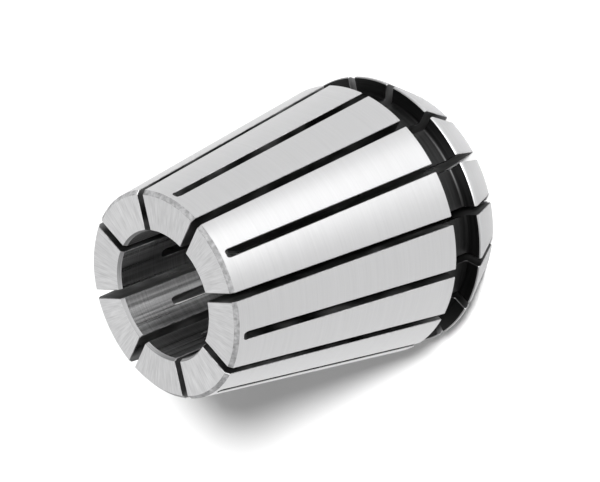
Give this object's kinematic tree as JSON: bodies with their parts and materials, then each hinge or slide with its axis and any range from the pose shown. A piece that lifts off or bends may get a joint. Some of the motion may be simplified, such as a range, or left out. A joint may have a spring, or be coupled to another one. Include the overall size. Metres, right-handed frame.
{
  "type": "er collet",
  "caption": "Slotted spring collet with a long steep rear cone, extraction groove, short front cone and through bore.",
  "frame": {"origin": "centre of the flat front face at the large end, which the collet stands on", "axes": "+Z along the bore axis, from the large front face to the small rear face; +X through the middle of one rear slot"},
  "size_m": [0.033, 0.033, 0.04],
  "materials": {
    "ground_steel": "ground spring steel, satin with fine turning and grinding lines"
  },
  "bodies": {
    "root": {"collet": "ground_steel"}
  },
  "joints": []
}
